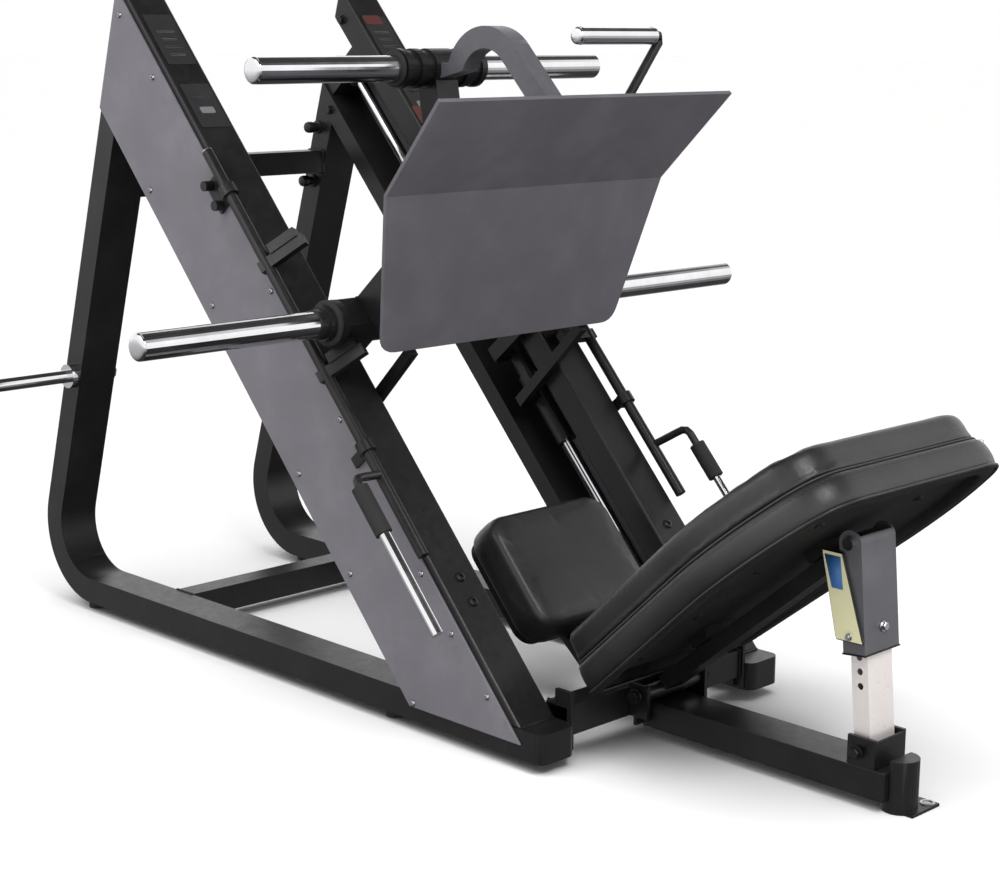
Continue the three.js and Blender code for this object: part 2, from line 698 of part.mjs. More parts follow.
function backRestBasePad() {
  const pad = padSlab(padPlan(0), [0, basePadThickness]);
  const pocket = padSlab(padPlan(34, 34), [-1, boardPocket]);
  return cut(pad, pocket);
}

function backRestCushion() {
  return padSlab(padPlan(10), [basePadThickness + weldGap, basePadThickness + cushionThickness]);
}

function backRestBoard() {
  return padSlab(padPlan(36, 36), [boardPocket - 12, boardPocket - weldGap]);
}

const postTopT = 527.8;              // along the pad, to the post's upper pivot
const pivotLevel = -16;              // that pivot's height from the pad's underside

// Spine tube under the pad, with the hinge barrel at one end and the post's pivot eye at the other.
function backRestSpine() {
  const y = (t) => -padStart - t;
  const z = (level) => level + padRise;
  const hinge = new THREE.Vector2(0, 0);
  const pivot = new THREE.Vector2(y(postTopT), z(pivotLevel));
  const beam = block([-25, 25], [y(postTopT), -10], [z(-30), z(-2)]);
  const spacerZ = [z(-3), z(boardPocket - 12 - weldGap)];
  const spacers = [110, 430].map((t) => block([-45, 45], [y(t + 45), y(t)], spacerZ));
  const barrel = crossBar([-75, 75], hinge, 15);
  const eye = crossBar([-25, 25], pivot, 14);
  const bores = [crossBar([-80, 80], hinge, 8.7), crossBar([-40, 40], pivot, 6.7)];
  return cut(join(barrel, beam, eye, ...spacers), ...bores);
}

// ---------------------------------------------------------------- post, upright in its own frame

// The sleeve hangs from its pivot; the rear wall is open near the top so that the spine can swing.
function postSleeve() {
  const { x, y } = sleeveHalf;
  const shape = new THREE.Shape();
  shape.moveTo(-y, -sleeveLength);
  shape.lineTo(y, -sleeveLength);
  shape.absarc(0, 0, y, 0, Math.PI, false);
  const bore = block([-x + wall, x - wall], [-y + wall, y - wall], [-sleeveLength - 5, 60]);
  const rearSlot = block([-x + wall, x - wall], [0, 60], [-82, 60]);
  const pinHole = crossBar([-60, 60], new THREE.Vector2(0, 0), 6.4);
  return cut(sideProfile(shape, [-x, x], 10), bore, rearSlot, pinHole);
}

function postTopPin() {
  const pivot = new THREE.Vector2(0, 0);
  const heads = [-1, 1].map((side) =>
    crossBar(mirrored(side, [sleeveHalf.x + weldGap, 57]), pivot, 11, 16));
  return join(crossBar([-55, 55], pivot, 6), ...heads);
}

// Inner tube with its row of locking holes and a wide foot hole for the clevis pin.
function postInnerTube(length) {
  const { x, y } = innerHalf;
  const top = -97;
  const shell = block([-x, x], [-y, y], [-length - 14, top]);
  const bore = block([-x + 3, x - 3], [-y + 3, y - 3], [-length - 20, top + 5]);
  const across = (z, radius, sides) => crossBar([-60, 60], new THREE.Vector2(0, z), radius, sides);
  const locks = [0, 1, 2, 3, 4, 5].map((i) => across(-sleeveLength - 55 + 25 * i, 6, 12));
  const footHole = across(-length, 11, 20);
  return cut(shell, bore, ...locks, footHole);
}

// The clevis stands on the beam: two ears, a front wall, a base plate and the pin between the ears.
function postClevis() {
  const base = beamTop + weldGap;
  const top = postBase.y + 26;
  const y = [postBase.x - clevisReach, postBase.x + 24];
  const ears = [-1, 1].map((side) => block(mirrored(side, [39, 46]), y, [base, top]));
  const plate = block([-46, 46], y, [base, base + 4]);
  const front = block([-46, 46], [y[0], y[0] + 4], [base, top - 3]);
  return join(plate, front, ...ears, crossBar([-52, 52], postBase, 6));
}

// Squeeze lever on the sleeve's side, hinged in the collar at the sleeve's foot.
function lockLever() {
  const shape = outline(
    new THREE.Vector2(-21, 24 - sleeveLength), new THREE.Vector2(30, 28 - sleeveLength),
    new THREE.Vector2(51, -14), new THREE.Vector2(13, -18));
  const outer = sleeveHalf.x + weldGap;
  return sideProfile(shape, [-outer - 7, -outer]);
}

// ---------------------------------------------------------------- assembly

const machine = new THREE.Group();
machine.position.y = centreShift;

function add(parent, name, manifold, material) {
  const mesh = new THREE.Mesh(toGeometry(manifold), finishes[material]());
  mesh.name = name;
  parent.add(mesh);
}

function subGroup(parent, position, angle) {
  const group = new THREE.Group();
  group.position.copy(position);
  group.rotation.x = angle;
  parent.add(group);
  return group;
}

const sides = [['left', -1], ['right', 1]];

function buildFrame() {
  for (const [label, side] of sides) {
    add(machine, `${label}_side_frame`, sideFrame(side), 'frame');
    add(machine, `${label}_rail_front_tube`, railTube(side, [-frontTubeDepth, 0]), 'frame');
    add(machine, `${label}_rail_rear_tube`, rearRailTube(side), 'frame');
    add(machine, `${label}_rail_cover`, railCover(side), 'cover');
    add(machine, `${label}_guide_rod`, guideRod(side), 'chrome');
    add(machine, `${label}_storage_horn`, storageHorn(side), 'chrome');
    add(machine, `${label}_front_pad_foot`, rubberFoot(side, 74), 'rubber');
    add(machine, `${label}_rear_pad_foot`, rubberFoot(side, 1066), 'rubber');
    add(machine, `${label}_safety_lower_bracket`, safetyBracket(side, brackets.lower), 'frame');
    add(machine, `${label}_safety_upper_bracket`, safetyBracket(side, brackets.upper), 'frame');
  }
  add(machine, 'upper_cross_tube', upperCrossTube(), 'frame');
  add(machine, 'rear_cross_tube', rearCrossTube(), 'frame');
  add(machine, 'front_cross_tube', frontCrossTube(), 'frame');
  add(machine, 'centre_beam', centreBeam(), 'frame');
  add(machine, 'front_foot', frontFoot(), 'frame');
  add(machine, 'backrest_hinge_bracket', hingeBracket(), 'frame');
  add(machine, 'post_clevis', postClevis(), 'frame');
}

function buildSeat() {
  const seat = subGroup(machine, point(0, trackStart), trackAngle);
  add(seat, 'seat_pad', seatPad(), 'vinyl');
  add(seat, 'seat_board', seatBoard(), 'board');
  add(machine, 'seat_support', seatSupport(), 'frame');
}

function buildCarriage() {
  for (const [label, side] of sides) {
    add(machine, `${label}_plate_gusset`, plateGusset(side), 'frame');
    add(machine, `${label}_bearing_carrier`, bearingCarrier(side), 'frame');
    add(machine, `${label}_lower_horn`, lowerHorn(side), 'chrome');
    add(machine, `${label}_upper_horn`, upperHorn(side), 'chrome');
  }
  add(machine, 'carriage_cross_tube', carriageCrossTube(), 'frame');
  add(machine, 'carriage_mast', carriageMast(), 'frame');
  add(machine, 'carriage_hub', carriageHub(), 'frame');
  add(machine, 'carriage_arch', carriageArch(), 'sleeve');
  add(machine, 'foot_plate', footPlate(), 'plate');
  add(machine, 'grab_handle', grabHandle(), 'frame');
  add(machine, 'grab_handle_grip', grabHandleGrip(), 'chrome');
}

// The catches are drawn reaching along +x, so the right-hand set is turned to reach along -x.
function buildSafety() {
  for (const [label, side] of sides) {
    const axis = subGroup(machine, point(side * shaftX, onTrack(0, shaftN)), trackAngle);
    const swing = new THREE.Group();
    swing.rotation.y = side < 0 ? -catchAngle.left : Math.PI + catchAngle.right;
    axis.add(swing);
    const turn = -side * handleTurn;
    const handle = handles[label];
    add(swing, `${label}_safety_shaft`, safetyShaft(turn, handle), 'frame');
    add(swing, `${label}_safety_handle`, safetyHandle(turn, handle), 'chrome');
    add(swing, `${label}_safety_grip`, safetyGrip(turn, handle), 'rubber');
  }
}

function buildBackRest() {
  const rest = subGroup(machine, point(0, hingePin), -backRestTilt);
  add(rest, 'backrest_cushion', backRestCushion(), 'vinyl');
  add(rest, 'backrest_base_pad', backRestBasePad(), 'vinyl');
  add(rest, 'backrest_board', backRestBoard(), 'board');
  add(rest, 'backrest_spine', backRestSpine(), 'frame');
}

function buildPost() {
  const reach = postTop.clone().sub(postBase);
  const post = subGroup(machine, point(0, postTop), -Math.atan2(reach.x, reach.y));
  add(post, 'post_sleeve', postSleeve(), 'sleeve');
  add(post, 'post_top_pin', postTopPin(), 'chrome');
  add(post, 'post_inner_tube', postInnerTube(reach.length()), 'chrome');
  add(post, 'post_lock_lever', lockLever(), 'label');
}

buildFrame();
buildSeat();
buildCarriage();
buildSafety();
buildBackRest();
buildPost();

export default machine;
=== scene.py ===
"""Looks of the plate-loaded leg press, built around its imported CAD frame.

Metres, +Z up, floor at 0. The left side is at -X and the seat end at -Y.
"""

import json
import math

import bmesh
import bpy
import numpy as np
from mathutils import Matrix, Vector


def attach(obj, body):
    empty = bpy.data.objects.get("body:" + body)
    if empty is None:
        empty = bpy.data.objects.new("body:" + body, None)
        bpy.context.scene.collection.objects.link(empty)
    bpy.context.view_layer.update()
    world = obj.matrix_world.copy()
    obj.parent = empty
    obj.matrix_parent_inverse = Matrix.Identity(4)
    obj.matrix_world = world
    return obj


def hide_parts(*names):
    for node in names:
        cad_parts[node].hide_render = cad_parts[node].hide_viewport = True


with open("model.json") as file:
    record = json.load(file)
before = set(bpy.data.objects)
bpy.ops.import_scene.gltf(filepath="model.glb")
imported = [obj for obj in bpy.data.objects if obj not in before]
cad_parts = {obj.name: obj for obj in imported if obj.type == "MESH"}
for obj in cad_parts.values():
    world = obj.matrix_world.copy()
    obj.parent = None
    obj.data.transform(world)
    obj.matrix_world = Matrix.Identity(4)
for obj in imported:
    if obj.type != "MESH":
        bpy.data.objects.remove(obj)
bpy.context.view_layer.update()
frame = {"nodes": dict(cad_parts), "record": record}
nodes = frame["nodes"]
scene = bpy.context.scene

# ---------------------------------------------------------------- driving positions, from the CAD

SIDES = (("left", -1), ("right", 1))
SHIFT_Y = -0.154                      # from the CAD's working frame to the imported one


def placed(x, y, z):
    """A point of the CAD's working frame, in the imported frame."""
    return Vector((x, y + SHIFT_Y, z))


TRACK_START = placed(0.0, -0.2442, 0.1284)
TRACK_ANGLE = math.radians(48.1)
ALONG = Vector((0.0, math.cos(TRACK_ANGLE), math.sin(TRACK_ANGLE)))
OFF = Vector((0.0, -math.sin(TRACK_ANGLE), math.cos(TRACK_ANGLE)))

HINGE = placed(0.0, -0.345, 0.092)
TILT = math.radians(40.0)
UP_PAD = Vector((0.0, -math.cos(TILT), math.sin(TILT)))
OUT_PAD = Vector((0.0, math.sin(TILT), math.cos(TILT)))
PAD_START, PAD_RISE = 0.0244, 0.0208  # the pad's low end from the hinge, up the pad and out of it

FRAME_INNER = 0.246                   # x of the side frames' inner faces
COVER_FACE = 0.3413                   # x of the rail covers' outer faces
RAIL_MIDDLE = 0.289                   # x of the rails' middle planes
CROSS_TUBE_S, CROSS_TUBE_N = 0.743, 0.090   # the carriage's cross tube, along and off the track
CROSS_TUBE_TOP = CROSS_TUBE_S + 0.0302
UPPER_HORN = placed(0.0, 0.286, 1.196)
STORAGE_HORN = placed(0.0, 1.080, 0.525)
GRAB_END = placed(-0.011, -0.100, 1.262)
POST_PIVOT = placed(0.0, -0.765, 0.4507)


def on_track(x, s, n):
    """A point x across the machine, s along the track and n off it."""
    return TRACK_START + Vector((x, 0, 0)) + ALONG * s + OFF * n


def on_back_rest(x, t, level):
    """A point x across the back rest, t up it and level above its base."""
    return HINGE + Vector((x, 0, 0)) + UP_PAD * (PAD_START + t) + OUT_PAD * (PAD_RISE + level)


# ---------------------------------------------------------------- node materials

def ramp(tree, factor, stops):
    node = tree.nodes.new("ShaderNodeValToRGB")
    node.color_ramp.elements[0].position = stops[0][0]
    node.color_ramp.elements[0].color = (*stops[0][1], 1)
    node.color_ramp.elements[1].position = stops[-1][0]
    node.color_ramp.elements[1].color = (*stops[-1][1], 1)
    for position, color in stops[1:-1]:
        element = node.color_ramp.elements.new(position)
        element.color = (*color, 1)
    tree.links.new(factor, node.inputs["Fac"])
    return node.outputs["Color"]


def noise(tree, coords, scale, detail=4.0, roughness=0.55, distortion=0.0):
    node = tree.nodes.new("ShaderNodeTexNoise")
    node.inputs["Scale"].default_value = scale
    node.inputs["Detail"].default_value = detail
    node.inputs["Roughness"].default_value = roughness
    node.inputs["Distortion"].default_value = distortion
    tree.links.new(coords, node.inputs["Vector"])
    return node.outputs["Fac"]


def new_material(name):
    material = bpy.data.materials.new(name)
    material.use_nodes = True
    tree = material.node_tree
    shader = tree.nodes["Principled BSDF"]
    coords = tree.nodes.new("ShaderNodeTexCoord").outputs["Object"]
    return material, tree, shader, coords


def set_range(tree, factor, low, high, socket):
    """Spreads a noise's middle range over low to high, on a socket."""
    node = tree.nodes.new("ShaderNodeMapRange")
    node.inputs["From Min"].default_value = 0.3
    node.inputs["From Max"].default_value = 0.7
    node.inputs["To Min"].default_value = low
    node.inputs["To Max"].default_value = high
    tree.links.new(factor, node.inputs["Value"])
    tree.links.new(node.outputs["Result"], socket)


def add_bump(tree, shader, height, strength, distance):
    node = tree.nodes.new("ShaderNodeBump")
    node.inputs["Strength"].default_value = strength
    node.inputs["Distance"].default_value = distance
    tree.links.new(height, node.inputs["Height"])
    tree.links.new(node.outputs["Normal"], shader.inputs["Normal"])


def painted(name, dark, light, rough=(0.34, 0.48), metallic=0.0, texture=0.25, scuffs=0.5):
    """Powder coat: fine orange peel, soft cloudy colour and rubbed spots."""
    material, tree, shader, coords = new_material(name)
    cloud = noise(tree, coords, 9.0, 5.0)
    fine = noise(tree, coords, 900.0, 2.0)
    scratches = noise(tree, coords, 38.0, 8.0, 0.7, 1.5)
    mixed = tree.nodes.new("ShaderNodeMath")
    mixed.operation = "MULTIPLY_ADD"
    tree.links.new(scratches, mixed.inputs[0])
    mixed.inputs[1].default_value = scuffs
    tree.links.new(cloud, mixed.inputs[2])
    middle = tuple((a + b) / 2 for a, b in zip(dark, light))
    color = ramp(tree, mixed.outputs[0], [(0.35, dark), (0.75, middle), (0.98, light)])
    tree.links.new(color, shader.inputs["Base Color"])
    set_range(tree, scratches, rough[0], rough[1], shader.inputs["Roughness"])
    shader.inputs["Metallic"].default_value = metallic
    add_bump(tree, shader, fine, texture, 0.0004)
    return material


def polished(name, color, rough=(0.07, 0.16), bump=0.04):
    """Chrome plate with faint turning marks and handling haze."""
    material, tree, shader, coords = new_material(name)
    haze = noise(tree, coords, 14.0, 6.0, 0.6)
    fine = noise(tree, coords, 420.0, 3.0)
    darker = tuple(c * 0.86 for c in color)
    tree.links.new(ramp(tree, haze, [(0.3, darker), (0.7, color)]), shader.inputs["Base Color"])
    set_range(tree, haze, rough[0], rough[1], shader.inputs["Roughness"])
    shader.inputs["Metallic"].default_value = 1.0
    add_bump(tree, shader, fine, bump, 0.0002)
    return material


def upholstery(name, dark, light, grain=520.0, rough=(0.3, 0.46)):
    """Black vinyl: leather pebble, fine creases and a soft sheen."""
    material, tree, shader, coords = new_material(name)
    cells = tree.nodes.new("ShaderNodeTexVoronoi")
    cells.feature = "DISTANCE_TO_EDGE"
    cells.inputs["Scale"].default_value = grain
    tree.links.new(coords, cells.inputs["Vector"])
    wear = noise(tree, coords, 7.0, 6.0, 0.6)
    creases = noise(tree, coords, 60.0, 6.0, 0.65, 2.0)
    tree.links.new(ramp(tree, wear, [(0.3, dark), (0.72, light)]), shader.inputs["Base Color"])
    set_range(tree, creases, rough[0], rough[1], shader.inputs["Roughness"])
    shader.inputs["Coat Weight"].default_value = 0.12
    shader.inputs["Coat Roughness"].default_value = 0.35
    height = tree.nodes.new("ShaderNodeMath")
    height.operation = "MULTIPLY_ADD"
    tree.links.new(creases, height.inputs[0])
    height.inputs[1].default_value = 0.8
    tree.links.new(cells.outputs["Distance"], height.inputs[2])
    add_bump(tree, shader, height.outputs[0], 0.3, 0.0007)
    return material


def rubbery(name):
    """Dull rubber with a little dust."""
    material, tree, shader, coords = new_material(name)
    dark, light = (0.008, 0.008, 0.008), (0.022, 0.021, 0.021)
    dust = noise(tree, coords, 26.0, 6.0, 0.6)
    fine = noise(tree, coords, 700.0, 2.0)
    tree.links.new(ramp(tree, dust, [(0.35, dark), (0.75, light)]), shader.inputs["Base Color"])
    set_range(tree, dust, 0.62, 0.85, shader.inputs["Roughness"])
    add_bump(tree, shader, fine, 0.35, 0.0005)
    return material


black_steel = painted("black_powder_coat", (0.0045, 0.0042, 0.0045), (0.014, 0.013, 0.0138),
                      (0.28, 0.42))
black_steel.node_tree.nodes["Principled BSDF"].inputs["Specular IOR Level"].default_value = 0.36
grey_cover = painted("grey_panel_paint", (0.128, 0.122, 0.140), (0.176, 0.168, 0.190),
                     (0.42, 0.56), metallic=0.1)
foot_steel = painted("foot_plate_paint", (0.090, 0.084, 0.097), (0.130, 0.121, 0.139),
                     (0.44, 0.58), metallic=0.1, texture=0.4)
sleeve_steel = painted("sleeve_paint", (0.090, 0.087, 0.098), (0.140, 0.136, 0.150),
                       (0.32, 0.46), metallic=0.3)
pale_label = painted("pale_label", (0.62, 0.60, 0.36), (0.78, 0.75, 0.47),
                     (0.45, 0.6), texture=0.1, scuffs=0.3)
blue_label = painted("blue_label", (0.035, 0.12, 0.33), (0.06, 0.19, 0.45),
                     (0.4, 0.5), texture=0.1, scuffs=0.3)
chrome = polished("chrome_plate", (0.80, 0.80, 0.82))
# Inner post tube: whitish chrome, given a pale, mostly diffuse colour that is a painted reflection
# of the bright studio in place of its mirror finish.
tube_with_painted_reflection = painted("plated_tube_painted_reflection", (0.74, 0.69, 0.67), (0.88, 0.83, 0.81),
                      (0.26, 0.38), metallic=0.25, texture=0.12, scuffs=0.4)
zinc = polished("zinc_fastener", (0.52, 0.52, 0.54), (0.25, 0.38), bump=0.12)
vinyl = upholstery("black_vinyl", (0.010, 0.009, 0.0095), (0.021, 0.0195, 0.020))
# Thread colour for the stitches; on the welt in the back rest's groove its paler tone is a painted
# highlight line.
thread_and_painted_highlight = upholstery("seam_thread_and_painted_highlight", (0.020, 0.019, 0.020), (0.045, 0.042, 0.044),
                    grain=1400.0, rough=(0.5, 0.7))
board_paint = painted("painted_board", (0.006, 0.0055, 0.0055), (0.014, 0.013, 0.013),
                      (0.6, 0.8), texture=0.6)
rubber = rubbery("black_rubber")

SLOT_MATERIAL = {
    "black_steel": black_steel, "grey_panel": grey_cover, "foot_plate": foot_steel,
    "grey_steel": sleeve_steel, "chrome": chrome, "upholstery": vinyl,
    "pad_board": board_paint, "rubber": rubber, "lever": pale_label,
}
slot_of = {part["node"]: part["material_slot"] for part in frame["record"]["subparts"]}
for name, node in nodes.items():
    material = SLOT_MATERIAL[slot_of[name]]
    # the inner post tube gets the pale colour that holds its painted reflection
    if name == "post_inner_tube":
        material = tube_with_painted_reflection
    if not node.material_slots:
        node.data.materials.append(material)
    for slot in node.material_slots:
        slot.material = material


def ease_edges(node, width):
    """Rounds a CAD node's edges in the render, as rolled tube and cut plate have them."""
    weld = node.modifiers.new("weld", "WELD")
    weld.merge_threshold = 0.00001
    bevel = node.modifiers.new("ease", "BEVEL")
    bevel.width = width
    bevel.segments = 2
    bevel.limit_method = "ANGLE"
    bevel.angle_limit = math.radians(32.0)
    bevel.use_clamp_overlap = True


EASED = {                             # the end of a node's name, and the width of its rounding
    "side_frame": 0.006, "rail_front_tube": 0.005, "rail_rear_tube": 0.003, "rail_cover": 0.0015,
    "cross_tube": 0.003, "centre_beam": 0.003, "carriage_mast": 0.005, "carriage_arch": 0.004,
    "plate_gusset": 0.0015, "foot_plate": 0.0022, "post_sleeve": 0.0016, "post_clevis": 0.0015,
    "backrest_spine": 0.0015, "seat_support": 0.003, "front_foot": 0.0012,
    "backrest_hinge_bracket": 0.0012, "post_inner_tube": 0.0006,
}
for name, node in nodes.items():
    for ending, width in EASED.items():
        if name.endswith(ending):
            ease_edges(node, width)
            break


# ---------------------------------------------------------------- mesh helpers

def linked(name, data):
    obj = bpy.data.objects.new(name, data)
    scene.collection.objects.link(obj)
    return obj


def make_object(name, verts, faces, material, smooth_angle=40.0):
    """A mesh object whose edges stay sharp where they turn by more than smooth_angle degrees."""
    mesh = bpy.data.meshes.new(name)
    mesh.from_pydata([tuple(v) for v in verts], [], faces)
    mesh.validate()
    mesh.update()
    bm = bmesh.new()
    bm.from_mesh(mesh)
    bmesh.ops.recalc_face_normals(bm, faces=bm.faces)
    limit = math.radians(smooth_angle)
    for edge in bm.edges:
        edge.smooth = len(edge.link_faces) == 2 and edge.calc_face_angle(0.0) < limit
    bm.to_mesh(mesh)
    bm.free()
    for polygon in mesh.polygons:
        polygon.use_smooth = True
    mesh.materials.append(material)
    return linked(name, mesh)


def basis(axis):
    axis = Vector(axis).normalized()
    side = axis.orthogonal().normalized()
    return side, axis.cross(side).normalized(), axis


def round_row(centre, side, other, radius, sides):
    """Points of a circle in the plane of two unit vectors."""
    turns = [2 * math.pi * k / sides for k in range(sides)]
    return [centre + (side * math.cos(a) + other * math.sin(a)) * radius for a in turns]


def skin(rows, sides, wrap=False):
    """Quads between rows of points; wrap joins the last row to the first."""
    faces = []
    for i in range(rows if wrap else rows - 1):
        j = (i + 1) % rows
        for k in range(sides):
            m = (k + 1) % sides
            faces.append((i * sides + k, i * sides + m, j * sides + m, j * sides + k))
    return faces


def end_faces(rows, sides):
    first_of_last = (rows - 1) * sides
    return [tuple(range(sides)), tuple(reversed(range(first_of_last, first_of_last + sides)))]


def profile_rows(profile, centre, axis, sides):
    side, other, along = basis(axis)
    verts = []
    for radius, height in profile:
        verts += round_row(Vector(centre) + along * height, side, other, radius, sides)
    return verts


def turned(profile, centre, axis, sides=28):
    """A lathed closed shape; profile is (radius, height along axis), from end to end."""
    rows = len(profile)
    verts = profile_rows(profile, centre, axis, sides)
    return verts, skin(rows, sides) + end_faces(rows, sides)


def tube_ring(profile, centre, axis, sides=32):
    """A ring turned about an axis from a closed section of (radius, height) points."""
    return profile_rows(profile, centre, axis, sides), skin(len(profile), sides, wrap=True)


def gather(name, shapes, material, body, smooth_angle=40.0):
    """Joins several small closed shapes into one piece that rides on a body."""
    verts, faces = [], []
    for v, f in shapes:
        base = len(verts)
        verts += v
        faces += [tuple(i + base for i in face) for face in f]
    obj = make_object(name, verts, faces, material, smooth_angle)
    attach(obj, body)
    return obj


def button_screw(centre, axis, radius=0.006, height=0.0035):
    """Domed screw head with a round recess."""
    profile = [(radius, 0), (radius, height * 0.25), (radius * 0.9, height * 0.65),
               (radius * 0.68, height * 0.95), (radius * 0.45, height),
               (radius * 0.42, height * 0.4), (radius * 0.05, height * 0.4)]
    return turned(profile, centre, axis, 18)


def hex_bolt(centre, axis, across=0.017, height=0.008, washer=0.0115):
    """Hexagon head on a round washer, as two shapes."""
    rise = 0.002
    disc = turned([(washer, 0), (washer, 0.0014), (washer * 0.94, rise), (0.001, rise)],
                  centre, axis, 24)
    top = Vector(centre) + Vector(axis).normalized() * rise
    r = across / 2 / math.cos(math.pi / 6)
    head = turned([(r, 0), (r, height * 0.82), (r * 0.86, height), (0.001, height)], top, axis, 6)
    return [disc, head]


def slab_shape(corner_points, thickness, direction):
    """A thin closed plate from a flat outline."""
    n = len(corner_points)
    push = Vector(direction).normalized() * thickness
    verts = [Vector(p) for p in corner_points] + [Vector(p) + push for p in corner_points]
    faces = [tuple(range(n)), tuple(reversed(range(n, 2 * n)))]
    faces += [(i, (i + 1) % n, n + (i + 1) % n, n + i) for i in range(n)]
    return verts, faces


def rounded_rectangle(width, height, corner, steps=5):
    points = []
    for cx, cy, start in ((width / 2, height / 2, 0), (-width / 2, height / 2, 90),
                          (-width / 2, -height / 2, 180), (width / 2, -height / 2, 270)):
        sx = cx - math.copysign(corner, cx)
        sy = cy - math.copysign(corner, cy)
        for k in range(steps + 1):
            a = math.radians(start + 90 * k / steps)
            points.append((sx + corner * math.cos(a), sy + corner * math.sin(a)))
    return points


def tube_along(points, radius, sides=10, closed=True, ripple=0.0, waves=0.0):
    """A small round tube through points, used for piping, thread and weld beads."""
    points = [Vector(p) for p in points]
    count = len(points)
    verts = []
    travelled = 0.0
    for i, p in enumerate(points):
        if closed:
            tangent = (points[(i + 1) % count] - points[i - 1]).normalized()
        else:
            tangent = (points[min(i + 1, count - 1)] - points[max(i - 1, 0)]).normalized()
        if i:
            travelled += (p - points[i - 1]).length
        side = tangent.cross(Vector((0.31, 0.17, 0.93)))
        side = (side if side.length > 0.05 else tangent.cross(Vector((1, 0, 0)))).normalized()
        other = tangent.cross(side).normalized()
        r = radius * (1 + ripple * math.sin(travelled * waves))
        verts += round_row(p, side, other, r, sides)
    faces = skin(count, sides, wrap=closed)
    if not closed:
        faces += end_faces(count, sides)
    return verts, faces


def resample(points, spacing, closed=True):
    """The same line with a point about every spacing."""
    points = [Vector(p) for p in points]
    ends = points + points[:1] if closed else points
    result = []
    for a, b in zip(ends, ends[1:]):
        pieces = max(1, round((b - a).length / spacing))
        result += [a.lerp(b, k / pieces) for k in range(pieces)]
    if not closed:
        result.append(points[-1])
    return result


def weld_bead(points, radius=0.003, closed=True):
    """A bead with the ripples of a hand weld."""
    return tube_along(resample(points, 0.0025, closed), radius, 7, closed, 0.16, 1500.0)


# ---------------------------------------------------------------- padded pieces

def back_plan(inset, steps=9):
    """Outline of the back rest pad: narrow at the seat, wide at the shoulders, rounded head."""
    seat_end, shoulder, head = 0.225, 0.326, 0.243
    bite = 0.55                       # share of a corner's radius that its curve takes on each side
    corners = [(seat_end - inset, 0.0, 0.040), (shoulder - inset, 0.497, 0.250),
               (head - inset * 0.5, 0.685 - inset, 0.120)]
    ring = corners + [(-x, t, r) for x, t, r in reversed(corners)]
    points = []
    for i, (x, t, radius) in enumerate(ring):
        following = ring[(i + 1) % len(ring)]
        here = Vector((x, t, 0))
        before = Vector((*ring[i - 1][:2], 0))
        after = Vector((*following[:2], 0))
        enter = here + (before - here).normalized() * radius * bite
        leave = here + (after - here).normalized() * radius * bite
        for k in range(steps + 1):
            u = k / steps
            points.append(enter * (1 - u) ** 2 + here * 2 * u * (1 - u) + leave * u ** 2)
        next_enter = after + (here - after).normalized() * following[2] * bite
        points += [leave.lerp(next_enter, k / 8) for k in range(1, 8)]
    return points


def seat_plan(inset):
    """Outline of the seat pad, across the machine and along the track."""
    half, low, high, corner = 0.162, 0.088, 0.338, 0.045
    corner = max(corner - inset * 0.5, 0.012)
    outline = rounded_rectangle(2 * (half - inset), high - low - 2 * inset, corner, 9)
    return [Vector((x, y + (low + high) / 2, 0)) for x, y in outline]


def lofted(plan, sections, centre, bottom, top):
    """Closed form through (level, inset, share) copies of one outline.

    share shrinks a copy towards the centre, where both ends meet at the levels bottom and top.
    """
    verts, rings = [], []
    for level, inset, share in sections:
        outline = plan(inset)
        rings.append(range(len(verts), len(verts) + len(outline)))
        verts += [Vector((centre[0] + (p.x - centre[0]) * share,
                          centre[1] + (p.y - centre[1]) * share, level)) for p in outline]
    n = len(rings[0])
    faces = skin(len(rings), n)
    for ring, level in ((rings[0], bottom), (rings[-1], top)):
        tip = len(verts)
        verts.append(Vector((centre[0], centre[1], level)))
        faces += [(ring[k], ring[(k + 1) % n], tip) for k in range(n)]
    return verts, faces


def read_points(mesh):
    points = np.empty(len(mesh.vertices) * 3, np.float32)
    mesh.vertices.foreach_get("co", points)
    return points.reshape(-1, 3)


def puff(obj, voxel, cap, held_below):
    """Inflates a pad as cloth; each point keeps at most cap of its travel, and low ones none."""
    frames = 20
    remesh = obj.modifiers.new("remesh", "REMESH")
    remesh.mode = "VOXEL"
    remesh.voxel_size = voxel
    graph = bpy.context.evaluated_depsgraph_get()
    dense = bpy.data.meshes.new_from_object(obj.evaluated_get(graph))
    obj.modifiers.clear()
    obj.data = dense
    start = read_points(dense)
    group = obj.vertex_groups.new(name="held")
    for i, p in enumerate(start):
        if p[2] < held_below:
            group.add([i], 1.0, "REPLACE")
    cloth = obj.modifiers.new("cloth", "CLOTH")
    cloth.settings.quality = 6
    cloth.settings.mass = 0.35
    cloth.settings.tension_stiffness = 12
    cloth.settings.compression_stiffness = 12
    cloth.settings.shear_stiffness = 6
    cloth.settings.bending_stiffness = 1.2
    cloth.settings.use_pressure = True
    cloth.settings.uniform_pressure_force = 4.0
    cloth.settings.vertex_group_mass = "held"
    cloth.settings.effector_weights.gravity = 0
    cloth.collision_settings.use_collision = False
    cloth.point_cache.frame_start = 1
    cloth.point_cache.frame_end = frames
    for number in range(1, frames + 1):
        scene.frame_set(number)
        bpy.context.evaluated_depsgraph_get().update()
    graph = bpy.context.evaluated_depsgraph_get()
    end = read_points(obj.evaluated_get(graph).to_mesh())
    obj.evaluated_get(graph).to_mesh_clear()
    obj.modifiers.clear()
    travel = end - start
    length = np.linalg.norm(travel, axis=1, keepdims=True)
    travel *= np.minimum(1.0, cap / np.maximum(length, 1e-9))
    dense.vertices.foreach_set("co", (start + travel).astype(np.float32).ravel())
    dense.update()
    scene.frame_set(1)


